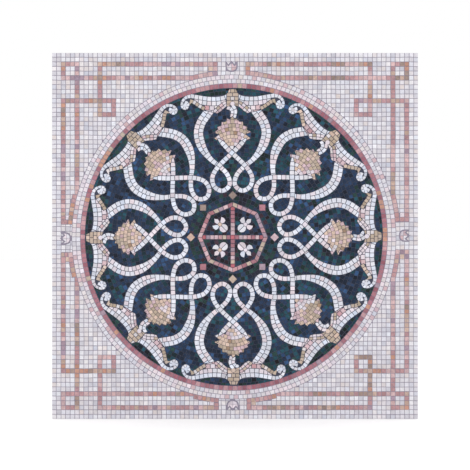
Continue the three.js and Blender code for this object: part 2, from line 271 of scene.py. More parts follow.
def counterclockwise(outline):
    return outline if signed_area(outline) > 0 else outline[::-1]


def grown(outline, distance):
    """Moves every side of an outline outwards by a distance, or inwards by a negative one."""
    moved = []
    for before, point, after in corners_of(counterclockwise(outline)):
        first = (point - before).normalized()
        second = (after - point).normalized()
        normal = Vector((first.y, -first.x))
        mitre = (normal + Vector((second.y, -second.x))).normalized()
        moved.append(point + mitre * distance / max(mitre.dot(normal), SHARPEST_MITRE))
    return moved


def circle(radius, sides=96, centre=Vector((0, 0)), first=0.0):
    angles = [first + index * 2 * math.pi / sides for index in range(sides)]
    return [centre + radius * Vector((math.cos(angle), math.sin(angle))) for angle in angles]


def rectangle(left, bottom, right, top, margin=0.0):
    left, bottom, right, top = left - margin, bottom - margin, right + margin, top + margin
    return points([(left, bottom), (right, bottom), (right, top), (left, top)])


def clamped(value, low=0.0, high=1.0):
    return min(max(value, low), high)


def parts(start, end):
    """The two ends of each of the parts of a length, about a tile long."""
    count = max(1, round(end - start))
    stops = [start + (end - start) / count * index for index in range(count + 1)]
    return zip(stops, stops[1:])


def smooth_line(knots, steps=6):
    """Closely spaced points on a smooth line through knots."""
    knots = points(knots)
    ends = [2 * knots[0] - knots[1], *knots, 2 * knots[-1] - knots[-2]]
    line = []
    for a, b, c, d in zip(ends, ends[1:], ends[2:], ends[3:]):
        for step in range(steps):
            t = step / steps
            bend = (2 * a - 5 * b + 4 * c - d) * t * t + (3 * b - a - 3 * c + d) * t * t * t
            line.append((2 * b + (c - a) * t + bend) / 2)
    return [*line, knots[-1]]


class Guide:
    """A line that stones are set along. Offsets are to the left of its direction."""

    def __init__(self, line):
        self.line = line
        self.reach = [0.0]
        for a, b in zip(line, line[1:]):
            self.reach.append(self.reach[-1] + (b - a).length)
        self.length = self.reach[-1]

    def place(self, distance, offset=0.0):
        index = 1
        while index < len(self.reach) - 1 and self.reach[index] < distance:
            index += 1
        a, b = self.line[index - 1], self.line[index]
        before, after = self.line[max(index - 2, 0)], self.line[min(index + 1, len(self.line) - 1)]
        share = (distance - self.reach[index - 1]) / (self.reach[index] - self.reach[index - 1])
        direction = (b - before).normalized().lerp((after - a).normalized(), share).normalized()
        return a.lerp(b, share) + Vector((-direction.y, direction.x)) * offset

    def outline(self, start, end, width, steps=60, low=None):
        """The closed outline of a band along part of the line, from low to width at each distance along it.

        Without low, width is half the band's width.
        """
        stops = [start + (end - start) * index / steps for index in range(steps + 1)]
        left = [self.place(stop, width(stop)) for stop in stops]
        right = [self.place(stop, low(stop) if low else -width(stop)) for stop in stops]
        return right + left[::-1]


def course(guide, start, end, low, high, length, kind, shift=0.0, gap=HALF_JOINT):
    """One row of stones along a guide, between two offsets, with a joint round each."""
    count = max(1, round((end - start) / length))
    step = (end - start) / count
    cuts = [start + step * (index + shift * (0 < index < count)) for index in range(count + 1)]
    stones = []
    for first, last in zip(cuts, cuts[1:]):
        stops = [first + gap, (first + last) / 2, last - gap]
        lower = [guide.place(stop, low(stop) + gap) for stop in stops]
        upper = [guide.place(stop, high(stop) - gap) for stop in reversed(stops)]
        name = kind(guide.place(stops[1], (low(stops[1]) + high(stops[1])) / 2)) if callable(kind) else kind
        stones.append(Stone(lower + upper, name))
    return stones


def level(value):
    return lambda distance: value


def opposite(offset):
    return lambda distance: -offset(distance)


def loops_of(cells):
    """The closed boundaries of a group of counterclockwise faces, as lists of vertex numbers."""
    sides = {side for cell in cells for side in sides_of(cell)}
    following = defaultdict(list)
    for a, b in sides:
        if (b, a) not in sides:
            following[a].append(b)
    loops = []
    while following:
        start = min(following)
        loop = [start]
        while True:
            here = loop[-1]
            step = following[here].pop()
            if not following[here]:
                del following[here]
            if step == start:
                break
            loop.append(step)
        loops.append(loop)
    return loops


def cleaned(outline):
    """An outline without stray points, its needle-sharp corners cut off as a hammer leaves them."""
    kept = []
    for point in outline:
        if not kept or (point - kept[-1]).length > CLOSEST_CORNERS:
            kept.append(point)
    if len(kept) > 1 and (kept[0] - kept[-1]).length <= CLOSEST_CORNERS:
        kept.pop()
    straight = []
    for before, point, after in corners_of(kept):
        if abs((point - before).normalized().cross((after - point).normalized())) > SMALLEST_TURN:
            straight.append(point)
    blunt = []
    for before, point, after in corners_of(straight):
        back, on = before - point, after - point
        if back.length > 0 and on.length > 0 and back.angle(on) < SHARPEST_CORNER:
            cut = min(BLUNT_CUT, back.length * UNDER_HALF, on.length * UNDER_HALF)
            blunt += [point + back.normalized() * cut, point + on.normalized() * cut]
        else:
            blunt.append(point)
    return blunt


def large_enough(outline):
    """Whether a stone of this outline is laid. The joint closes over smaller ones."""
    area = signed_area(outline)
    edge = sum((a - b).length for a, b in sides_of(outline))
    return area > SMALLEST_STONE and 2 * area / edge > THINNEST_STONE


def fitted(stones, inside=None, outside=()):
    """The stones cut to what lies inside one outline and outside all the others."""
    outlines = [stone.outline for stone in stones] + ([inside] if inside else []) + list(outside)
    corners, faces = [], []
    for outline in outlines:
        faces.append(list(range(len(corners), len(corners) + len(outline))))
        corners.extend(counterclockwise(outline))
    made = delaunay_2d_cdt(corners, [], faces, 4, 1e-6, True)
    places, cells, owners = made[0], made[2], made[5]
    needed = {len(stones)} if inside else set()
    groups = defaultdict(list)
    for cell, owner in zip(cells, owners):
        mine = [index for index in owner if index < len(stones)]
        others = {index for index in owner if index >= len(stones)}
        if mine and others == needed:
            groups[min(mine)].append(list(cell))
    result = []
    for index, group in sorted(groups.items()):
        cut = [cleaned([places[corner] for corner in loop]) for loop in loops_of(group)]
        result += [Stone(outline, stones[index].kind) for outline in cut if large_enough(outline)]
    return result


# ---------------------------------------------------------------- sizes and colours


def linear(code):
    """A stone's colour from its usual six-figure code, in the values that a shader works in."""
    channels = ((code >> 16 & 255) / 255, (code >> 8 & 255) / 255, (code & 255) / 255)
    return tuple(((c + 0.055) / 1.055) ** 2.4 if c > 0.04045 else c / 12.92 for c in channels)


def length(name, description, default):
    return FloatProperty(
        name=name, description=description, default=default, min=0.0, unit="LENGTH", precision=5
    )


def colour(name, code, description):
    return FloatVectorProperty(
        name=name, description=description, default=linear(code), size=3, min=0.0, max=1.0, subtype="COLOR"
    )


class StoneSizes(PropertyGroup):
    """How the stones are cut and set."""

    stone_depth: length("Stone depth", "How far a stone reaches into the grout", 0.004)
    arris: length("Worn arris", "Width of the worn edge round a stone's face", 0.0006)
    recess: length("Grout recess", "How far the grout lies below the stones' faces", 0.0011)
    unevenness: length("Unevenness", "How much one stone's face stands above another's", 0.00022)
    tilt: FloatProperty(
        name="Tilt", description="Largest tilt of a stone's face", default=0.014, min=0.0, subtype="ANGLE"
    )
    wander: FloatProperty(
        name="Wander", description="How far rows and cut corners stray, in tiles", default=0.05, min=0.0
    )
    seed: IntProperty(name="Seed", description="Starts the stones' irregularities", default=7, min=0)


class StoneColours(PropertyGroup):
    """Colours of the stones, the grout and the mortar."""

    cream: colour("Cream", 0xD8D5DC, "Commonest stone of the field")
    cream_pale: colour("Pale cream", 0xE0DEE3, "Lightest stone of the field")
    cream_grey: colour("Grey cream", 0xCBC9D2, "Greyer stone of the field")
    cream_warm: colour("Warm cream", 0xD6CFD1, "Warmer stone of the field")
    rose: colour("Rose", 0xA5707B, "Red stone of the rings and the border line")
    mauve: colour("Mauve", 0xA58E9C, "Purplish stone of the border line")
    rust: colour("Rust", 0xBD8F7D, "Orange-brown stone of the border line")
    salmon: colour("Salmon", 0xBD9399, "Pink stone of the rings and the octagon")
    deep_rose: colour("Deep rose", 0x9A5F6C, "Darker red stone of the medallion's rim")
    line_rose: colour("Line rose", 0xB78F92, "Commonest stone of the border line")
    line_pink: colour("Line pink", 0xCBACAD, "Paler stone of the border line")
    line_tan: colour("Line tan", 0xC0A598, "Sandy stone of the border line")
    slate: colour("Slate", 0x6B5B66, "Dark line round the side buds")
    brown: colour("Brown", 0xA08B82, "Brown stone of the rings and the border line")
    tan: colour("Tan", 0xBAA89A, "Tan stone of the rings and the leaves")
    red: colour("Red", 0xB1626C, "Reddest stone of the octagon's cross")
    white: colour("White", 0xD9DAE4, "Marble of the ribbons and flowers")
    white_blue: colour("Blue white", 0xD3D8E6, "Cooler marble of the leaves")
    white_pink: colour("Pink white", 0xDBD0D8, "Pinker marble of the leaves and ribbons")
    pink: colour("Pink", 0xCBB0B6, "Pink stone where a ribbon meets a leaf")
    gold: colour("Gold", 0xB4A290, "Golden stone of buds and leaves")
    peach: colour("Peach", 0xD1B9AA, "Lighter stone of the buds")
    ochre: colour("Ochre", 0x9F8570, "Darker stone of the buds")
    navy: colour("Navy", 0x1E2E46, "Commonest stone of the dark ground")
    blue: colour("Blue", 0x274162, "Bluer stone of the dark ground")
    teal: colour("Teal", 0x1A3F4B, "Green-blue stone of the dark ground")
    green: colour("Green", 0x1D3532, "Green-black stone of the dark ground")
    black: colour("Black", 0x1A1C28, "Darkest stone of the ground")
    maroon: colour("Maroon", 0x35252F, "Brownish-black stone inside the octagon")
    grout: colour("Pale grout", 0x8A8393, "Grout of the field and the rings")
    grout_dark: colour("Dark grout", 0x3D4050, "Grout of the medallion")
    mortar: colour("Mortar", 0xA39C95, "Mortar bed at the sides and back")


class StageSizes(PropertyGroup):
    """The view and its light."""

    distance: length("Distance", "From the camera to the panel's face", 5.0)
    view_width: length("View width", "What the picture takes in at the panel's face", 1.1545)
    view_rise: length("View rise", "Height of the view's middle above the panel's middle", 0.0021)
    sky: FloatProperty(name="Sky", description="Strength of the white surroundings", default=1.0, min=0.0)
    glow: FloatProperty(name="Glow", description="Light that the floor gives off", default=0.2, min=0.0)
    key: FloatProperty(
        name="Key light", description="Power of the soft light", default=7.0, min=0.0, unit="POWER"
    )
    key_size: length("Key light's size", "Across the soft light", 0.9)
    key_place: FloatVectorProperty(
        name="Key light's place",
        description="From the middle of the panel's face",
        default=(-0.9, -3.6, 0.0),
        subtype="TRANSLATION",
    )
    floor: colour("Floor", 0xFDFDFD, "Colour of the floor")


# The stones that a kind of place is laid with, and how often each comes up.
RECIPES = {
    "field": {"cream": 6, "cream_pale": 3, "cream_grey": 3, "cream_warm": 2},
    "ring_cream": {"cream": 3, "cream_grey": 2, "cream_warm": 3, "white_pink": 5, "pink": 1},
    "ring_red": {"mauve": 2, "deep_rose": 5, "rose": 8, "salmon": 3, "rust": 3, "tan": 1},
    "border": {"brown": 3, "rust": 2, "line_tan": 3, "line_rose": 8, "line_pink": 6, "mauve": 3},
    "accent": {"peach": 2, "white_pink": 1},
    "ribbon": {"white": 6, "white_blue": 2, "white_pink": 3},
    "leaf_top": {"white": 4, "white_blue": 4, "cream_grey": 1},
    "leaf_middle": {"white": 3, "white_pink": 4, "cream": 2},
    "leaf_low": {"white_pink": 3, "cream_warm": 2, "pink": 2},
    "leaf_gold": {"gold": 3, "tan": 4, "peach": 1, "cream_warm": 1},
    "leaf_rib": {"white_pink": 4, "pink": 2, "tan": 3, "gold": 1, "cream": 1},
    "leaf_pink": {"pink": 4, "white_pink": 2, "salmon": 1},
    "bud_crown": {"gold": 5, "peach": 4, "tan": 2, "ochre": 1, "pink": 3},
    "bud_base": {"white_pink": 3, "peach": 4, "pink": 2, "cream": 1},
    "octagon": {"salmon": 3, "rose": 3, "tan": 2, "pink": 2, "mauve": 2},
    "cross": {"salmon": 3, "rose": 3, "pink": 2, "tan": 1, "mauve": 1},
    "cross_red": {"red": 1},
    "flower": {"white": 3, "white_pink": 2, "cream_grey": 1},
    "flower_heart": {"white_pink": 1, "peach": 1},
    "side_bud": {"white_pink": 3, "cream": 2, "pink": 1},
    "side_bud_line": {"slate": 1},
    "ground": {"navy": 5, "blue": 2, "teal": 2, "green": 1, "black": 1},
    "ground_rim": {"navy": 3, "green": 2, "teal": 2, "black": 2},
    "ground_loop": {"navy": 5, "teal": 3, "blue": 2, "green": 1, "black": 1},
    "ground_middle": {"black": 3, "green": 2, "teal": 1, "navy": 2, "maroon": 1},
    "ground_octagon": {"black": 3, "navy": 2, "teal": 1, "maroon": 2, "green": 1},
}
# Clockwise from the top.
SQUARE_STONES = ("brown", "rose", "pink", "mauve", "tan", "rose", "line_tan", "brown")

# How far stones take after their neighbours, and how much their shades differ.
RUNS = {
    "border": 0.7, "ring_red": 0.45, "ground": 0.5, "ground_rim": 0.5, "ground_loop": 0.5,
    "ground_middle": 0.5,
}  # fmt: skip
RUN_LENGTH = 3.5  # tiles
RUN_STRENGTH = 1.4
RUN_LAYER = 3.7
SPREADS = {"field": 0.035, "ring_cream": 0.05}
GROUND_SPREAD = 0.5
COMMON_SPREAD = 0.07
LIGHTEST_SHADE = 1.7
WARMTH = 0.015


def tone(colours, kind, place, dice):
    """One stone's colour. Stones of some kinds take after their neighbours, as they come from one slab."""
    recipe = RECIPES.get(kind, {kind: 1})
    run = RUNS.get(kind, 0.0)
    drift = noise.noise(Vector((place.x, place.y, len(kind) * RUN_LAYER)) / RUN_LENGTH) * RUN_STRENGTH + 0.5
    pick = (run * clamped(drift) + (1 - run) * dice.random()) * sum(recipe.values())
    for name, share in recipe.items():
        pick -= share
        if pick <= 0:
            break
    spread = GROUND_SPREAD if kind.startswith("ground") else SPREADS.get(kind, COMMON_SPREAD)
    shade = min(math.exp(dice.gauss(0.0, spread)), LIGHTEST_SHADE)
    warmth = dice.gauss(0.0, WARMTH)
    red, green, blue = getattr(colours, name)
    return (red * (shade + warmth), green * shade, blue * (shade - warmth), 1.0)


# ---------------------------------------------------------------- stones from outlines


def select_only(*objects):
    bpy.ops.object.select_all(action="DESELECT")
    for item in objects:
        item.select_set(True)
    bpy.context.view_layer.objects.active = objects[0]


def select_faces(item, wanted):
    """Leaves just the faces selected for which wanted(face) is true. Works from object mode to edit mode."""
    bpy.ops.object.mode_set(mode="EDIT")
    bpy.ops.mesh.select_mode(type="FACE")
    bpy.ops.mesh.select_all(action="DESELECT")
    bpy.ops.object.mode_set(mode="OBJECT")
    for face in item.data.polygons:
        face.select = wanted(face)
    bpy.ops.object.mode_set(mode="EDIT")


# A stone's face, in widths of its arris: how far back it starts, and the width and height of the two slopes
# that raise it.
SET_BACK = 1.35
SLOPES = ((0.35, 0.75), (0.65, 0.35))
TILT_REACH = 0.6  # a long stone's ends tilt no further than this half length would, in tiles


def lay_stones(name, stones, material, slot, nodes, depth=None, transform=None):
    """Makes a piece of single stones. transform moves a point from its own drawing to the plan."""
    scene = bpy.context.scene
    sizes, colours = scene.mosaic_stones, scene.mosaic_colours
    dice = random.Random(f"{sizes.seed} {name}")
    front = FACE_DEPTH + SET_BACK * sizes.arris + sizes.unevenness
    corners, faces, tones, middles = [], [], [], []
    for stone in stones:
        outline = [transform(point) for point in stone.outline] if transform else stone.outline
        outline = counterclockwise(outline)
        middle = middle_of(outline)
        rise = dice.uniform(-1, 1) * sizes.unevenness
        lean = Vector((dice.uniform(-1, 1), dice.uniform(-1, 1))) * sizes.tilt * TILE
        faces.append(range(len(corners), len(corners) + len(outline)))
        for point in outline:
            away = Vector([clamped(value, -TILT_REACH, TILT_REACH) for value in point - middle])
            corners.append((point.x * TILE, front + rise + lean.dot(away), point.y * TILE))
        tones.append(tone(colours, stone.kind, middle, dice))
        middles.append(middle * TILE)

    mesh = bpy.data.meshes.new(name)
    mesh.from_pydata(corners, [], faces)
    stone_tone = mesh.attributes.new("tone", "FLOAT_COLOR", "FACE")
    stone_tone.data.foreach_set("color", [channel for each in tones for channel in each])
    number = mesh.attributes.new("stone", "INT", "FACE")
    number.data.foreach_set("value", range(len(faces)))
    item = bpy.data.objects.new(name, mesh)
    scene.collection.objects.link(item)

    back = depth or sizes.stone_depth
    give_depth(item, back, sizes.arris)
    map_stones(item, middles, front + back / 2)
    item.data.materials.append(material)
    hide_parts(*nodes)
    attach(item, "root")


def give_depth(item, depth, arris):
    """Draws the stones' outlines back to their depth and raises their faces over worn arrises."""
    select_only(item)
    bpy.ops.object.mode_set(mode="EDIT")
    bpy.ops.mesh.select_mode(type="FACE")
    bpy.ops.mesh.select_all(action="SELECT")
    bpy.ops.mesh.extrude_region_move(TRANSFORM_OT_translate={"value": (0, depth, 0)})
    bpy.ops.mesh.select_all(action="SELECT")
    bpy.ops.mesh.normals_make_consistent(inside=False)
    bpy.ops.object.mode_set(mode="OBJECT")
    select_faces(item, lambda face: face.normal.y < -0.5)
    for width, height in SLOPES:
        bpy.ops.mesh.inset(
            use_individual=True, use_even_offset=True, thickness=width * arris, depth=height * arris
        )
    bpy.ops.object.mode_set(mode="OBJECT")
    select_faces(item, lambda face: face.normal.y > 0.5)
    bpy.ops.mesh.sort_elements(type="SELECTED", elements={"FACE"})
    bpy.ops.object.mode_set(mode="OBJECT")


UNFOLDED_FRONT = 0.86
UNFOLDED_BACK = 1.03
MAP_FILL = 0.98


def map_stones(item, middles, split):
    """Unfolds the stones on their plan: faces a little smaller than life, sides folded out round them."""
    mesh = item.data
    layer = mesh.uv_layers.new(name="OFBake")
    number = mesh.attributes["stone"].data
    spots = []
    for face in mesh.polygons:
        middle = middles[number[face.index].value]
        for corner in face.loop_indices:
            place = mesh.vertices[mesh.loops[corner].vertex_index].co
            deep = place.y > split and abs(face.normal.y) < 0.5
            share = UNFOLDED_BACK if deep else UNFOLDED_FRONT
            spots.append(middle + (Vector((place.x, place.z)) - middle) * share)
    low = Vector((min(spot.x for spot in spots), min(spot.y for spot in spots)))
    high = Vector((max(spot.x for spot in spots), max(spot.y for spot in spots)))
    span = max(high.x - low.x, high.y - low.y)
    centre = (low + high) / 2
    flat = [value for spot in spots for value in ((spot - centre) / span * MAP_FILL + Vector((0.5, 0.5)))]
    layer.uv.foreach_set("vector", flat)


# ---------------------------------------------------------------- materials


def bare_material(name):
    material = bpy.data.materials.new(name)
    material.use_nodes = True
    return material, material.node_tree, material.node_tree.nodes["Principled BSDF"]


def node_of(tree, kind, location, **values):
    node = tree.nodes.new(kind)
    node.location = location
    for key, value in values.items():
        if hasattr(node, key):
            setattr(node, key, value)
        else:
            node.inputs[key.replace("_", " ")].default_value = value
    return node


def noise_of(tree, location, place, **values):
    """Noise in the piece's own coordinates."""
    texture = node_of(tree, "ShaderNodeTexNoise", location, **values)
    tree.links.new(place.outputs["Object"], texture.inputs["Vector"])
    return texture.outputs["Fac"]


def ranged(tree, location, value, low, high, start=0.0, end=1.0):
    """What runs from start to end, made to run from low to high."""
    reach = {"From_Min": start, "From_Max": end, "To_Min": low, "To_Max": high}
    node = node_of(tree, "ShaderNodeMapRange", location, **reach)
    tree.links.new(value, node.inputs["Value"])
    return node.outputs["Result"]


def scaled(tree, location, tint, factor):
    node = node_of(tree, "ShaderNodeVectorMath", location, operation="SCALE")
    tree.links.new(tint, node.inputs[0])
    tree.links.new(factor, node.inputs["Scale"])
    return node.outputs["Vector"]


def bumped(tree, location, height, strength, distance, normal=None):
    node = node_of(tree, "ShaderNodeBump", location, Strength=strength, Distance=distance)
    tree.links.new(height, node.inputs["Height"])
    if normal:
        tree.links.new(normal, node.inputs["Normal"])
    return node.outputs["Normal"]


def stone_material(name, grain, veins, gloss, pits, shine=0.35):
    """Natural stone. Each tessera has its own tone, clouded and veined, with a grained and pitted face."""
    material, tree, shader = bare_material(name)
    own = node_of(tree, "ShaderNodeAttribute", (-900, 300), attribute_name="tone").outputs["Color"]
    place = node_of(tree, "ShaderNodeTexCoord", (-1300, 0))
    clouds = noise_of(tree, (-1100, 100), place, Scale=170.0, Detail=4.0, Roughness=0.6)
    speckle = noise_of(tree, (-1100, -150), place, Scale=1400.0, Detail=3.0, Roughness=0.7)
    seams = noise_of(tree, (-1100, -400), place, Scale=90.0, Detail=5.0, Roughness=0.55, Distortion=1.4)

    vein_line = node_of(tree, "ShaderNodeValToRGB", (-850, -400))
    ramp = vein_line.color_ramp
    ramp.elements[0].position, ramp.elements[0].color = 0.44, (1, 1, 1, 1)
    ramp.elements[1].position, ramp.elements[1].color = 0.56, (1, 1, 1, 1)
    line = ramp.elements.new(0.5)
    line.color = (1 - veins, 1 - veins, 1 - veins * 0.9, 1)
    tree.links.new(seams, vein_line.inputs["Fac"])

    cloudiness = ranged(tree, (-850, 100), clouds, 1 - grain, 1 + grain, 0.3, 0.7)
    clouded = scaled(tree, (-600, 250), own, cloudiness)
    veined = node_of(tree, "ShaderNodeMix", (-400, 200), data_type="RGBA", blend_type="MULTIPLY")
    veined.inputs["Factor"].default_value = 1.0
    tree.links.new(clouded, veined.inputs["A"])
    tree.links.new(vein_line.outputs["Color"], veined.inputs["B"])
    tree.links.new(veined.outputs["Result"], shader.inputs["Base Color"])

    rough = ranged(tree, (-600, -150), speckle, gloss - 0.1, gloss + 0.16)
    tree.links.new(rough, shader.inputs["Roughness"])
    fine = bumped(tree, (-300, -350), speckle, pits, 0.0004)
    tree.links.new(bumped(tree, (-100, -350), clouds, 0.35, 0.0008, fine), shader.inputs["Normal"])
    shader.inputs["Specular IOR Level"].default_value = shine
    return material


FINISHES = {
    "cream tesserae": dict(grain=0.07, veins=0.06, gloss=0.62, pits=0.5),
    "red tesserae": dict(grain=0.12, veins=0.2, gloss=0.5, pits=0.4),
    "white tesserae": dict(grain=0.04, veins=0.1, gloss=0.42, pits=0.3),
    "golden tesserae": dict(grain=0.12, veins=0.16, gloss=0.5, pits=0.4),
    "dark tesserae": dict(grain=0.25, veins=0.2, gloss=0.42, pits=0.4, shine=0.18),
}


def finish(name):
    return bpy.data.materials.get(name) or stone_material(name, **FINISHES[name])


def mortar_material(name, pale, dark=None, edge=0.0):
    """Sanded mortar or grout. Within a distance of the medallion's middle it may be of another colour."""
    material, tree, shader = bare_material(name)
    place = node_of(tree, "ShaderNodeTexCoord", (-1300, 0))
    sand = noise_of(tree, (-1000, 0), place, Scale=900.0, Detail=5.0, Roughness=0.75)
    stain = noise_of(tree, (-1000, -250), place, Scale=14.0, Detail=4.0, Roughness=0.6)

    base = node_of(tree, "ShaderNodeMix", (-500, 300), data_type="RGBA")
    base.inputs["A"].default_value = (*(dark or pale), 1)
    base.inputs["B"].default_value = (*pale, 1)
    if dark:
        centre = node_of(tree, "ShaderNodeVectorMath", (-1000, 400), operation="MULTIPLY_ADD")
        centre.inputs[1].default_value = (1, 0, 1)
        centre.inputs[2].default_value = (-MEDALLION_CENTRE.x * TILE, 0, -MEDALLION_CENTRE.y * TILE)
        tree.links.new(place.outputs["Object"], centre.inputs[0])
        distance = node_of(tree, "ShaderNodeVectorMath", (-800, 400), operation="LENGTH")
        tree.links.new(centre.outputs["Vector"], distance.inputs[0])
        border = ranged(tree, (-700, 300), distance.outputs["Value"], 0.0, 1.0, edge - 0.002, edge + 0.002)
        tree.links.new(border, base.inputs["Factor"])

    sandy = scaled(tree, (-300, 200), base.outputs["Result"], ranged(tree, (-750, 0), sand, 0.75, 1.25))
    stained = scaled(tree, (-100, 200), sandy, ranged(tree, (-750, -250), stain, 0.85, 1.15))
    tree.links.new(stained, shader.inputs["Base Color"])
    tree.links.new(ranged(tree, (-500, -150), sand, 0.8, 1.0), shader.inputs["Roughness"])
    tree.links.new(bumped(tree, (-300, -300), sand, 0.6, 0.0006), shader.inputs["Normal"])
    return material


# ---------------------------------------------------------------- plan of the border


def cell_on_panel(column, row, right, up):
    """A point given in tiles in from a corner of the panel."""
    return Vector((right * (HALF_PANEL - column), up * (HALF_PANEL - row)))


def turning_column():
    """The column, in from a corner, at which the inner line begins to bend along the medallion's rings."""
    reach = math.sqrt((CREAM_RING_RADIUS + 1) ** 2 - (HALF_PANEL - INNER_ROW) ** 2)
    return math.ceil(HALF_PANEL - reach)


def line_cells():
    """Cells of one corner's border line that lie on the grid, as columns and rows in from the corner."""
    square_end = CROSSING_ROW + CORNER_SQUARE
    cells = {(column, INNER_ROW) for column in range(OUTER_ROW, turning_column())}
    cells |= {(column, OUTER_ROW) for column in range(CROSSING_ROW, LAST_WHOLE_TILE)}
    cells |= {(column, OUTER_ROW) for column in range(OUTER_ROW, OUTER_ROW + CORNER_SQUARE)}
    cells |= {(column, CROSSING_ROW) for column in range(OUTER_ROW, square_end)}
    cells |= {(column, square_end - 1) for column in range(CROSSING_ROW, square_end)}
    return cells | {(row, column) for column, row in cells}


def line_end(centre, bud):
    """The end of a corner's line beside a side's bud: its stones and its outlines.

    All are in tiles in from the corner. centre is the medallion's, and bud is how far along the bud stands.
    """
    end = bud - SIDE_GAP
    radius = CREAM_RING_RADIUS + 0.5
    first, last = (math.asin((centre.x - column) / radius) for column in (turning_column(), end))
    angles = [first + (last - first) * step / BEND_STEPS for step in range(BEND_STEPS + 1)]
    guide = Guide([centre + radius * Vector((-math.sin(angle), -math.cos(angle))) for angle in angles])
    foot = centre.y - math.sqrt(radius**2 - (centre.x - end) ** 2) - 0.5
    accent = (end - 1 - ACCENT, OUTER_ROW + 1, end - 1, OUTER_ROW + 2)
    across = [(end - 1, low, end, high) for low, high in parts(OUTER_ROW, foot)]
    along = [(left, OUTER_ROW, right, OUTER_ROW + 1) for left, right in parts(LAST_WHOLE_TILE, end - 1)]
    stones = course(guide, 0, guide.length, level(-0.5), level(0.5), 1.0, "border")
    stones += [Stone(rectangle(*box, -HALF_JOINT), "border") for box in across + along]
    stones.append(Stone(rectangle(*accent, -HALF_JOINT), "accent"))
    outlines = [guide.outline(0, guide.length, level(0.5), BEND_STEPS)]
    outlines.append(rectangle(end - 1, OUTER_ROW, end, foot))
    outlines.append(rectangle(LAST_WHOLE_TILE, OUTER_ROW, end, OUTER_ROW + 1))
    outlines.append(rectangle(*accent))
    return stones, outlines


def corner_plan(right, up):
    """The stones of one corner's line on the grid, those off the grid, and the outlines of these."""
    whole = []
    for column, row in sorted(line_cells()):
        near, far = cell_on_panel(column, row, right, up), cell_on_panel(column + 1, row + 1, right, up)
        left, bottom = min(near.x, far.x), min(near.y, far.y)
        whole.append(Stone(rectangle(left, bottom, left + 1, bottom + 1, -HALF_JOINT), "border"))

    def on_panel(outline, upright):
        return [cell_on_panel(*(point.yx if upright else point), right, up) for point in outline]

    centre = Vector((HALF_PANEL - right * MEDALLION_CENTRE.x, HALF_PANEL - up * MEDALLION_CENTRE.y))
    level_bud = HALF_PANEL - right * SIDE_BUD_PLACES["top" if up > 0 else "bottom"].x
    upright_bud = HALF_PANEL - up * SIDE_BUD_PLACES["right" if right > 0 else "left"].y
    cut, outlines = [], []
    for upright, end in enumerate((line_end(centre, level_bud), line_end(centre.yx, upright_bud))):
        cut += [Stone(on_panel(stone.outline, upright), stone.kind) for stone in end[0]]
        outlines += [on_panel(outline, upright) for outline in end[1]]
    return whole, cut, outlines


def side_bud_plan():
    """A small tulip, its three points towards the panel's edge: pink stones in a thin dark line."""
    outline = doubled(points(SIDE_BUD))
    inner = grown(outline, -BUD_OUTLINE)
    middle_line = grown(outline, -BUD_OUTLINE / 2)
    guide = Guide([*middle_line, middle_line[0]])
    half = (BUD_OUTLINE + HALF_JOINT) / 2
    line = fitted(
        course(guide, 0, guide.length, level(-half), level(half), 1.0, "side_bud_line"),
        inside=grown(outline, -HALF_JOINT),
        outside=[grown(inner, HALF_JOINT * 0.6)],
    )
    fill = [
        Stone(rectangle(left, low, left + 1.3, low + 1.0, -HALF_JOINT / 2), "side_bud")
        for left in (-1.3, 0.0)
        for low in (-1.2, -0.2, 0.8)
    ]
    return line + fitted(fill, inside=grown(inner, -HALF_JOINT * 0.6)), outline


# ---------------------------------------------------------------- plan of one lobe


def half_width(guide, up_from):
    """Half the ribbon's width at a distance along it: narrow, but widening on its way up to the leaf."""

    def width(distance):
        if distance < RIBBON_TAPER:
            return (RIBBON_TIP + (RIBBON_NARROW - RIBBON_TIP) * distance / RIBBON_TAPER) / 2
        if distance < up_from:
            return RIBBON_NARROW / 2
        share = clamped((guide.place(distance).y - WIDENING[0]) / (WIDENING[1] - WIDENING[0]))
        return (RIBBON_NARROW + (RIBBON_WIDE - RIBBON_NARROW) * share * share * (3 - 2 * share)) / 2

    return width


def ribbon_plan(leaf):
    """The stones of a lobe's two ribbons and their outlines. The way down passes over the way up."""
    steps = 6
    guide = Guide(smooth_line(RIBBON, steps))
    foot = guide.reach[LOOP_FOOT * steps]
    knot = guide.reach[(LOOP_FOOT + KNOT_AFTER_FOOT) * steps]
    width = half_width(guide, knot)
    low = opposite(width)
    down = guide.outline(0, foot, width, 70)
    up = guide.outline(foot, guide.length, width, 90)
    tenths = range(int(knot * 10), int(guide.length * 10))
    split = next(stop / 10 for stop in tenths if width(stop / 10) * 2 > TWO_ROWS_FROM)

    left_of_axis = rectangle(-9, 0, HALF_JOINT, 15)
    edge = Vector((math.sin(LOBE_ANGLE / 2), math.cos(LOBE_ANGLE / 2)))
    corner = Vector((edge.y, -edge.x)) * -HALF_JOINT
    across = Vector((20, 0))
    next_lobe = [corner, corner + edge * 40, corner + edge * 40 + across, corner + across]
    walls = [left_of_axis, next_lobe]
    way_down = course(guide, 0, foot, low, width, RIBBON_STONE, "ribbon")
    way_up = course(guide, foot, split, low, width, RIBBON_STONE, "ribbon")
    way_up += course(guide, split, guide.length, low, level(0), RIBBON_STONE, "ribbon")
    way_up += course(guide, split, guide.length, level(0), width, RIBBON_STONE, "ribbon", 0.35)
    over_it = [*walls, grown(down, HALF_JOINT), grown(leaf, HALF_JOINT)]
    right = fitted(way_down, outside=walls) + fitted(way_up, outside=over_it)
    left = [Stone(mirrored(stone.outline), stone.kind) for stone in right]
    crossing = rectangle(-3, 16.6, 3, 21)
    over = fitted([Stone(down, "ribbon")], inside=crossing)[0].outline
    left = fitted(left, outside=[grown(over, HALF_JOINT)])
    return right + left, [down, up, mirrored(down), mirrored(up)]


def leaf_outline():
    half = smooth_line(SHOULDER, 3) + smooth_line(CURL, 3) + points(UNDERSIDE) + points([LEAF_FOOT])
    return doubled(half)


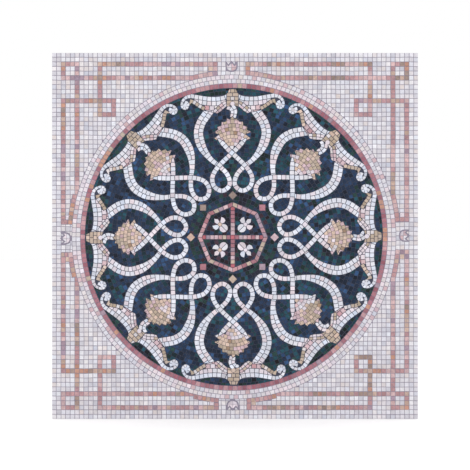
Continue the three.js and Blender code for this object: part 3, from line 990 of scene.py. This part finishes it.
def leaf_tip(body):
    """The leaf's golden tip, and the upright box that it takes up."""
    foot = circle(ROUND_STONE[1], 10, Vector(ROUND_STONE[0]))
    stones = []
    for row in range(TIP_ROWS):
        low = TIP_FOOT + row * TIP_ROW
        joints = TIP_JOINTS[row % 2]
        for left, right in zip(joints, joints[1:]):
            stones.append(Stone(rectangle(left, low, right, low + TIP_ROW, -HALF_JOINT), "leaf_gold"))
    stones = fitted(stones, inside=body, outside=[grown(foot, HALF_JOINT)]) + [Stone(foot, "accent")]
    return stones, rectangle(-TIP_HALF, 28.0, TIP_HALF, 33.2, HALF_JOINT)


def leaf_ribs():
    """The rib beside the tip and the golden lower edge: their stones and their outlines."""
    rib, lower = Guide(smooth_line(RIB, 4)), Guide(smooth_line(LOWER_EDGE, 4))
    stones = course(rib, 0, rib.length, level(-0.1), level(0.55), 0.8, "leaf_rib")
    stones += course(rib, 0, rib.length, level(-1.0), level(-0.1), 0.8, "leaf_low")
    stones += course(lower, 0, lower.length, level(-1.0), level(0.2), 0.75, "leaf_gold")
    outlines = [rib.outline(0, rib.length, level(0.55), 8, level(-1.2))]
    outlines.append(lower.outline(0, lower.length, level(0.2), 8, level(-1.2)))
    return stones, outlines


def leaf_plan():
    """The leaf over a lobe: a golden tip and ribs, and wings of rows that follow their hollow upper edge."""
    outline = leaf_outline()
    body = grown(outline, -HALF_JOINT)
    tip, column = leaf_tip(body)
    ribs, rib_outlines = leaf_ribs()
    shoulder = SHOULDER[WING_FROM:]
    guide = Guide(smooth_line([*shoulder, *CURL, *CURL_END], 5))
    curl_start = guide.reach[len(shoulder) * 5]

    def thickness(stop):
        return WING_ROW - CURL_NARROWING * clamped((stop - curl_start + 1.5) / 3.0)

    first_row = course(guide, 0, guide.length, opposite(thickness), level(0.05), 0.92, "leaf_top")
    first_outline = guide.outline(0, guide.length - 0.4, thickness)
    rows = []
    for index, kind in enumerate(WING_KINDS):
        depth = (index + 1) * WING_ROW
        rows += course(
            guide, 0, curl_start - 0.4, level(-depth - WING_ROW), level(-depth), 0.95, kind, 0.4 * (index % 2)
        )
    taken = [column, first_outline, *(grown(shape, HALF_JOINT) for shape in rib_outlines)]
    half = fitted(ribs, inside=body, outside=[column]) + fitted(first_row, inside=body, outside=[column])
    half += [Stone(stone.outline, wing_kind(stone)) for stone in fitted(rows, inside=body, outside=taken)]
    half.append(Stone(circle(CURL_EYE[1], 9, Vector(CURL_EYE[0])), "leaf_top"))
    return tip + half + [Stone(mirrored(stone.outline), stone.kind) for stone in half], outline


def wing_kind(stone):
    """Pink stones where the ribbon meets the leaf."""
    away = middle_of(stone.outline) - Vector(RIBBON_MEETS[0])
    return "leaf_pink" if away.length < RIBBON_MEETS[1] else stone.kind


def bud_kind(place):
    return "bud_base" if place.y < CROWN_FOOT else "bud_crown"


def bud_plan():
    """The bud: courses of small stones like scales, golden in the crown and paler below."""
    outline = doubled(points(BUD_CROWN) + points(BUD_BASE))
    centre = Vector(SCALES_CENTRE)
    angles = [math.radians(SCALES_HALF_ANGLE * (1 - step / 20)) for step in range(41)]
    half = level(SCALE / 2)
    stones = []
    radius = SCALES_FROM
    row = 0
    while radius < SCALES_TO:
        guide = Guide([centre + radius * Vector((-math.sin(angle), math.cos(angle))) for angle in angles])
        shift = 0.4 * (row % 2)
        stones += course(guide, 0, guide.length, opposite(half), half, SCALE, bud_kind, shift, BUD_JOINT / 2)
        radius += SCALE
        row += 1
    return stones, outline


def stem_plan(leaf, bud):
    """The short curved stem between leaf and bud. It bends the same way in every lobe."""
    guide = Guide(smooth_line(STEM, 6))

    def width(stop):
        return STEM_WIDTH / 2 * (1.1 - 0.25 * stop / guide.length)

    stones = course(guide, 0, guide.length, opposite(width), level(0), STEM_STONE, "ribbon")
    stones += course(guide, 0, guide.length, level(0), width, STEM_STONE, "ribbon")
    stones = fitted(stones, outside=[grown(leaf, HALF_JOINT), grown(bud, HALF_JOINT)])
    return stones, guide.outline(0, guide.length, width, 16)


# ---------------------------------------------------------------- plan of the middle


def octagon_plan():
    """The octagon, mitred at its corners, and the cross that joins four of them."""
    outer = OCTAGON_HALF + HALF_JOINT / math.cos(LOBE_ANGLE / 2)
    inner = outer - OCTAGON_LINE / math.cos(LOBE_ANGLE / 2)
    outside, inside = circle(outer, LOBES), circle(inner, LOBES)
    sides = list(zip(sides_of(outside), sides_of(inside)))
    gap = HALF_JOINT / (outside[1] - outside[0]).length
    trim = HALF_JOINT / OCTAGON_LINE
    stones = []
    for (a, b), (c, d) in sides:
        for step in range(STONES_PER_SIDE):
            start, end = step / STONES_PER_SIDE + gap, (step + 1) / STONES_PER_SIDE - gap
            low = [a.lerp(b, start), a.lerp(b, end)]
            high = [c.lerp(d, end), c.lerp(d, start)]
            corners = [low[0].lerp(high[1], trim), low[1].lerp(high[0], trim)]
            corners += [high[0].lerp(low[1], trim), high[1].lerp(low[0], trim)]
            stones.append(Stone(corners, "octagon"))
    arm = CROSS_LINE / 2
    step = (inner - arm) / STONES_PER_ARM
    bar = []
    for index in range(STONES_PER_ARM):
        low = arm + index * step
        kind = "cross_red" if index == STONES_PER_ARM - 1 else "cross"
        bar.append(Stone(rectangle(-arm, low, arm, low + step, -HALF_JOINT), kind))
    cross = [Stone(rectangle(-arm, -arm, arm, arm, -HALF_JOINT), "cross_red")]
    for quarter in range(4):
        for stone in bar:
            outline = [turned(point, quarter * math.pi / 2) for point in stone.outline]
            cross.append(Stone(outline, stone.kind))
    stones += fitted(cross, inside=grown(inside, -HALF_JOINT))
    outlines = [rectangle(-outer, -arm, outer, arm), rectangle(-arm, -outer, arm, outer)]
    return stones, outlines + [[a, b, d, c] for (a, b), (c, d) in sides]


def flower_plan():
    """A white flower along a diagonal: a round petal inwards, a heart, and three pointed petals outwards."""
    middle, radius = ROUND_PETAL
    low, high = middle - radius, middle + radius
    round_petal = circle(radius, 16, Vector((0, middle)))
    heart = circle(FLOWER_HEART[1], 8, Vector((0, FLOWER_HEART[0])), math.pi / 8)
    halves = [Stone(rectangle(left, low, left + 1.1, high, -HALF_JOINT), "flower") for left in (-1.1, 0.0)]
    stones = fitted(halves, inside=round_petal, outside=[grown(heart, HALF_JOINT)])
    stones.append(Stone(heart, "flower_heart"))
    side, tip = points(SIDE_PETAL), doubled(points(TIP_PETAL))
    petals = [Stone(grown(petal, -HALF_JOINT / 2), "flower") for petal in (tip, side, mirrored(side))]
    stones += fitted(petals, outside=[grown(round_petal, HALF_JOINT), grown(heart, HALF_JOINT)])
    rounded = [point for point in round_petal if point.x > 0.01 and point.y < SIDE_PETAL[1][1] - 0.3]
    rounded.sort(key=lambda point: point.y)
    half = [Vector((0, low)), *rounded, *points(SIDE_PETAL[1:-1]), *points(TIP_PETAL[-2::-1])]
    return stones, doubled(half)


def small_square():
    return [Vector((point.x, point.y + SQUARE_DISTANCE)) for point in circle(SQUARE_HALF_DIAGONAL, 4)]


# ---------------------------------------------------------------- the whole plan


class Plan:
    """Every stone of the panel. A lobe's figures are drawn once and turned into their eight places."""

    def __init__(self):
        self.leaf, leaf = leaf_plan()
        courses, bud = bud_plan()
        self.scroll, scroll = ribbon_plan(leaf)
        ribbons = [grown(scroll[0], HALF_JOINT), grown(scroll[2], HALF_JOINT)]
        self.bud = fitted(courses, inside=grown(bud, -HALF_JOINT), outside=ribbons)
        self.stem, stem = stem_plan(leaf, bud)
        self.lobe_outlines = [leaf, bud, stem, *scroll]
        self.octagon, self.octagon_outlines = octagon_plan()
        self.flower, self.flower_outline = flower_plan()
        self.square = small_square()
        self.side_bud, self.side_bud_outline = side_bud_plan()
        self.corners = {name: corner_plan(right, up) for name, right, up in CORNERS}

    @staticmethod
    def in_lobe(index):
        """Moves a point into a lobe. Towards the middle, the lobes lean over with the octagon."""
        angle = index * LOBE_ANGLE + math.radians(LOBE_LEANS[index])

        def place(point):
            share = clamped((GROUND_RADIUS - point.length) / LEANING)
            return turned(point, angle, MEDALLION_CENTRE.lerp(MIDDLE_CENTRE, share))

        return place

    @staticmethod
    def in_middle(angle):
        return lambda point: turned(point, angle, MIDDLE_CENTRE)

    @staticmethod
    def on_side(index):
        return lambda point: turned(point, index * math.pi / 2, SIDE_BUD_PLACES[SIDES[index]])

    def ground_obstacles(self):
        """What the dark ground is cut to, each outline with a joint round it."""
        placed = []
        for index in range(LOBES):
            placed += [(self.in_lobe(index), outline) for outline in self.lobe_outlines]
            placed.append((self.in_middle(index * LOBE_ANGLE), self.square))
        placed += [(self.in_middle((index + 0.5) * math.pi / 2), self.flower_outline) for index in range(4)]
        placed += [(self.in_middle(0), outline) for outline in self.octagon_outlines]
        return [[place(point) for point in grown(outline, HALF_JOINT)] for place, outline in placed]


PLAN = Plan()


# ---------------------------------------------------------------- operators


def slab(name, edge, cells, turn, start, depth, material):
    """A square slab, an edge's width in from the panel's sides: a finely divided face, drawn out by depth."""
    side = PANEL_SIDE - 2 * edge
    bpy.ops.object.select_all(action="DESELECT")
    bpy.ops.mesh.primitive_grid_add(
        x_subdivisions=cells, y_subdivisions=cells, size=side, location=(0, start, 0), rotation=(turn, 0, 0)
    )
    item = bpy.context.object
    item.name = name
    bpy.ops.object.transform_apply(location=True, rotation=True, scale=True)
    bpy.ops.object.mode_set(mode="EDIT")
    bpy.ops.mesh.select_all(action="SELECT")
    bpy.ops.mesh.extrude_region_move(TRANSFORM_OT_translate={"value": (0, depth, 0)})
    bpy.ops.mesh.select_all(action="SELECT")
    bpy.ops.mesh.normals_make_consistent(inside=False)
    bpy.ops.object.mode_set(mode="OBJECT")
    item.data.materials.append(material)
    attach(item, "root")
    return item


class MOSAIC_OT_mortar(Operator):
    """Mortar bed behind the stones, with a floated back"""

    bl_idname = "mosaic.mortar"
    bl_label = "Mortar bed"

    def execute(self, context):
        mortar = mortar_material("mortar", context.scene.mosaic_colours.mortar)
        depth = BED_LOW[1] - BED_HIGH[1]
        bed = slab("mortar_back", BED_EDGE, 90, -math.pi / 2, -BED_EDGE, depth, mortar)
        rough(bed, "trowel_marks", 0.03, 0.0007)
        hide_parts("mortar_bed")
        return {"FINISHED"}


def rough(item, name, scale, strength):
    """Gives a piece a worked surface, by a soft noise applied to its mesh."""
    texture = bpy.data.textures.new(name, "CLOUDS")
    texture.noise_scale = scale
    texture.noise_depth = 3
    select_only(item)
    modifier = item.modifiers.new(name, "DISPLACE")
    modifier.texture = texture
    modifier.texture_coords = "LOCAL"
    modifier.strength = strength
    modifier.mid_level = 0.5
    bpy.ops.object.modifier_apply(modifier=name)


class MOSAIC_OT_grout(Operator):
    """Grout that fills the joints to a little below the stones' faces"""

    bl_idname = "mosaic.grout"
    bl_label = "Grout"

    def execute(self, context):
        sizes, colours = context.scene.mosaic_stones, context.scene.mosaic_colours
        edge = (GROUND_RADIUS + DARK_GROUT_PAST) * TILE
        sanded = mortar_material("grout", colours.grout, colours.grout_dark, edge)
        face = FACE_DEPTH + sizes.recess
        grout = slab("grout", GROUT_EDGE, 160, math.pi / 2, face, BED_LOW[1] - face, sanded)
        rough(grout, "grout_waves", 0.008, 0.0004)
        return {"FINISHED"}


class MOSAIC_OT_field(Operator):
    """Square stones of the cream field, in straight rows cut to the medallion and the border figures"""

    bl_idname = "mosaic.field"
    bl_label = "Cream field"

    def execute(self, context):
        taken, obstacles = set(), [circle(CREAM_RING_RADIUS + HALF_JOINT, CUT_SIDES, MEDALLION_CENTRE)]
        for whole, _, outlines in PLAN.corners.values():
            taken |= {tuple(round(value - 0.5) for value in middle_of(stone.outline)) for stone in whole}
            obstacles += [grown(outline, HALF_JOINT) for outline in outlines]
        for index in range(len(SIDES)):
            place = Plan.on_side(index)
            obstacles.append([place(point) for point in grown(PLAN.side_bud_outline, HALF_JOINT)])

        half = int(HALF_PANEL)
        wander = context.scene.mosaic_stones.wander
        inner, edge = [], []
        for column in range(-half, half):
            for row in range(-half, half):
                nodes = [(column, row), (column + 1, row), (column + 1, row + 1), (column, row + 1)]
                outline = grown([strayed(*node, wander) for node in nodes], -HALF_JOINT)
                reach = (middle_of(outline) - MEDALLION_CENTRE).length
                if (column, row) not in taken and reach > CREAM_RING_RADIUS - FIELD_UNDER_RING:
                    at_edge = min(column, row) == -half or max(column, row) == half - 1
                    (edge if at_edge else inner).append(Stone(outline, "field"))
        limestone = finish("cream tesserae")
        depth = BED_LOW[1] - FACE_DEPTH - EDGE_STONE_GAP
        inner = fitted(inner, outside=obstacles)
        lay_stones("field_stones", inner, limestone, "cream_stone", ["cream_field"])
        lay_stones("field_edge_stones", edge, limestone, "cream_stone", ["cream_field"], depth)
        return {"FINISHED"}


def strayed(column, row, wander):
    """A crossing of the field's joints, a little off its place unless it is on the panel's edge."""
    places = [Vector((column, row, layer)) * DRIFT_PACE for layer in DRIFT_LAYERS]
    drift = [noise.noise(place) * wander * DRIFT_STRENGTH for place in places]
    return Vector((column + drift[0] * (abs(column) < HALF_PANEL), row + drift[1] * (abs(row) < HALF_PANEL)))


class MOSAIC_OT_border(Operator):
    """The border line, one tile wide, with its corner squares and its bends along the medallion"""

    bl_idname = "mosaic.border"
    bl_label = "Border line"

    def execute(self, context):
        medallion = circle(CREAM_RING_RADIUS + HALF_JOINT, CUT_SIDES, MEDALLION_CENTRE)
        for name, (whole, cut, _) in PLAN.corners.items():
            stones = fitted(whole + cut, outside=[medallion])
            nodes = [f"border_line_{name}"]
            lay_stones(f"border_stones_{name}", stones, finish("red tesserae"), "rose_stone", nodes)
        return {"FINISHED"}


class MOSAIC_OT_side_buds(Operator):
    """The small bud in the middle of each side, in a thin dark line"""

    bl_idname = "mosaic.side_buds"
    bl_label = "Side buds"

    def execute(self, context):
        look = finish("golden tesserae")
        for index, side in enumerate(SIDES):
            name, nodes = f"side_bud_{side}_stones", [f"side_bud_{side}"]
            lay_stones(name, PLAN.side_bud, look, "blush_stone", nodes, transform=Plan.on_side(index))
        return {"FINISHED"}


class MOSAIC_OT_rings(Operator):
    """Rings round the medallion: one row of red stones, then two of cream"""

    bl_idname = "mosaic.rings"
    bl_label = "Rings"

    def execute(self, context):
        middle = (RED_RING_RADIUS + CREAM_RING_RADIUS) / 2
        red = self.ring(GROUND_RADIUS, RED_RING_RADIUS, 1.02, "ring_red")
        cream = self.ring(RED_RING_RADIUS, middle, 1.0, "ring_cream")
        cream += self.ring(middle, CREAM_RING_RADIUS, 1.0, "ring_cream")
        lay_stones("red_ring_stones", red, finish("red tesserae"), "rose_stone", ["red_ring"])
        lay_stones("cream_ring_stones", cream, finish("cream tesserae"), "cream_stone", ["cream_ring"])
        return {"FINISHED"}

    @staticmethod
    def ring(inside, outside, length, kind):
        line = circle((inside + outside) / 2, RING_SIDES, MEDALLION_CENTRE)
        guide = Guide([*line, line[0]])
        half = level((outside - inside) / 2)
        return course(guide, 0, guide.length, opposite(half), half, length, kind)


class MOSAIC_OT_lobes(Operator):
    """The figures of the eight lobes: knotted scrolls, leaves, stems and buds"""

    bl_idname = "mosaic.lobes"
    bl_label = "Lobes"

    def execute(self, context):
        figures = (
            ("scroll", PLAN.scroll, "white tesserae", "white_marble"),
            ("palmette", PLAN.leaf, "white tesserae", "white_marble"),
            ("stem", PLAN.stem, "white tesserae", "white_marble"),
            ("bud", PLAN.bud, "golden tesserae", "gold_stone"),
        )
        for index in range(LOBES):
            place = Plan.in_lobe(index)
            for figure, stones, look, slot in figures:
                name, nodes = f"{figure}_stones_{index + 1}", [f"{figure}_{index + 1}"]
                lay_stones(name, stones, finish(look), slot, nodes, transform=place)
        return {"FINISHED"}


class MOSAIC_OT_middle(Operator):
    """The medallion's middle: octagon and cross, four flowers, and the eight small squares round them"""

    bl_idname = "mosaic.middle"
    bl_label = "Octagon, flowers and squares"

    def execute(self, context):
        red, white = finish("red tesserae"), finish("white tesserae")
        place = Plan.in_middle(0)
        lay_stones("octagon_stones", PLAN.octagon, red, "salmon_stone", ["octagon_cross"], transform=place)
        for index in range(4):
            name, nodes = f"flower_stones_{index + 1}", [f"flower_{index + 1}"]
            place = Plan.in_middle((index + 0.5) * math.pi / 2)
            lay_stones(name, PLAN.flower, white, "white_marble", nodes, transform=place)
        for index, kind in enumerate(SQUARE_STONES):
            name, nodes = f"square_stone_{index + 1}", [f"small_square_{index + 1}"]
            stones = [Stone(grown(PLAN.square, -HALF_JOINT), kind)]
            lay_stones(name, stones, red, "blush_stone", nodes, transform=Plan.in_middle(index * LOBE_ANGLE))
        return {"FINISHED"}


class MOSAIC_OT_ground(Operator):
    """The medallion's dark ground, in rings of irregular stones cut to the figures"""

    bl_idname = "mosaic.ground"
    bl_label = "Dark ground"

    def execute(self, context):
        dice = random.Random(context.scene.mosaic_stones.seed)
        rim = GROUND_RADIUS - RIM_STONE
        rows = round(rim / GROUND_ROW)
        bounds = [rim * row / rows for row in range(rows + 1)] + [GROUND_RADIUS]
        stones = []
        for low, high in zip(bounds, bounds[1:]):
            count = max(FEWEST_STONES, round(math.pi * (low + high) / GROUND_STONE))
            turn = dice.random()
            strays = [dice.uniform(-GROUND_STRAY, GROUND_STRAY) for _ in range(count)]
            cuts = [(index + turn + stray) * 2 * math.pi / count for index, stray in enumerate(strays)]
            for first, last in zip(cuts, [*cuts[1:], cuts[0] + 2 * math.pi]):
                spots = [(high, first), (high, (first + last) / 2), (high, last), (low, last), (low, first)]
                outline = [
                    MEDALLION_CENTRE + max(reach, HUB) * Vector((math.sin(angle), math.cos(angle)))
                    for reach, angle in spots
                ]
                stones.append(Stone(grown(outline, -HALF_JOINT), self.kind(outline)))
        stones = fitted(stones, outside=PLAN.ground_obstacles())
        lay_stones("ground_stones", stones, finish("dark tesserae"), "dark_stone", ["medallion_ground"])
        return {"FINISHED"}

    @staticmethod
    def kind(outline):
        """Greener and blacker stones at the rim, bluer ones round the buds, and the darkest in the middle."""
        place = middle_of(outline) - MEDALLION_CENTRE
        angle = math.atan2(place.x, place.y)
        lobe = turned(place, -round(angle / LOBE_ANGLE) * LOBE_ANGLE)
        if place.length < OCTAGON_REACH:
            return "ground_octagon"
        if place.length < MIDDLE_REACH:
            return "ground_middle"
        if lobe.y > RIM_FROM:
            return "ground_rim"
        return "ground_loop" if abs(lobe.x) < LOOP_HALF and LOOP_FROM < lobe.y < LOOP_TO else "ground"


class MOSAIC_OT_stage(Operator):
    """Pale floor, soft light and the camera in front of the panel"""

    bl_idname = "mosaic.stage"
    bl_label = "Stage"

    def execute(self, context):
        stage = context.scene.mosaic_stage
        bpy.ops.object.select_all(action="DESELECT")
        bpy.ops.mesh.primitive_plane_add(size=60, location=(0, 0, BED_LOW[2] - 0.0005))
        floor = context.object
        floor.name = "floor"
        paint, _, shader = bare_material("floor")
        shader.inputs["Base Color"].default_value = (*stage.floor, 1)
        shader.inputs["Roughness"].default_value = 0.9
        shader.inputs["Emission Color"].default_value = (1, 1, 1, 1)
        shader.inputs["Emission Strength"].default_value = stage.glow
        floor.data.materials.append(paint)

        world = bpy.data.worlds.new("studio")
        world.use_nodes = True
        background = world.node_tree.nodes["Background"]
        background.inputs["Color"].default_value = (1, 1, 1, 1)
        background.inputs["Strength"].default_value = stage.sky
        context.scene.world = world
        context.scene.view_settings.view_transform = "Standard"

        place = Vector((0, FACE_DEPTH, 0)) + Vector(stage.key_place)
        bpy.ops.object.light_add(type="AREA", location=place)
        key = context.object
        key.name = "key_light"
        key.data.shape = "DISK"
        key.data.size = stage.key_size
        key.data.energy = stage.key
        key.rotation_euler = (-place).to_track_quat("-Z", "Y").to_euler()

        data = bpy.data.cameras.new("camera")
        camera = bpy.data.objects.new("camera", data)
        context.scene.collection.objects.link(camera)
        data.sensor_width = 36
        data.lens = data.sensor_width * stage.distance / stage.view_width
        data.clip_end = 200
        camera.location = (0, FACE_DEPTH - stage.distance, stage.view_rise)
        camera.rotation_euler = (math.pi / 2, 0, 0)
        context.scene.camera = camera
        return {"FINISHED"}


OPERATORS = (
    MOSAIC_OT_stage,
    MOSAIC_OT_mortar,
    MOSAIC_OT_grout,
    MOSAIC_OT_field,
    MOSAIC_OT_border,
    MOSAIC_OT_side_buds,
    MOSAIC_OT_rings,
    MOSAIC_OT_lobes,
    MOSAIC_OT_middle,
    MOSAIC_OT_ground,
)


class MOSAIC_PT_panel(Panel):
    """Lists the panel's pieces and their sizes and colours"""

    bl_idname = "MOSAIC_PT_panel"
    bl_label = "Mosaic panel"
    bl_space_type = "VIEW_3D"
    bl_region_type = "UI"
    bl_category = "Mosaic"

    def draw(self, context):
        layout = self.layout
        for operator in OPERATORS:
            layout.operator(operator.bl_idname)
        for group in (context.scene.mosaic_stones, context.scene.mosaic_colours, context.scene.mosaic_stage):
            box = layout.box()
            for name in group.__annotations__:
                box.prop(group, name)


GROUPS = {"mosaic_stones": StoneSizes, "mosaic_colours": StoneColours, "mosaic_stage": StageSizes}


def register():
    for name, group in GROUPS.items():
        bpy.utils.register_class(group)
        setattr(bpy.types.Scene, name, PointerProperty(type=group))
    for kind in (*OPERATORS, MOSAIC_PT_panel):
        bpy.utils.register_class(kind)


def unregister():
    for kind in reversed((*OPERATORS, MOSAIC_PT_panel)):
        bpy.utils.unregister_class(kind)
    for name, group in GROUPS.items():
        delattr(bpy.types.Scene, name)
        bpy.utils.unregister_class(group)


def main():
    register()
    for operator in OPERATORS:
        family, name = operator.bl_idname.split(".")
        getattr(getattr(bpy.ops, family), name)()


if __name__ == "__main__":
    main()
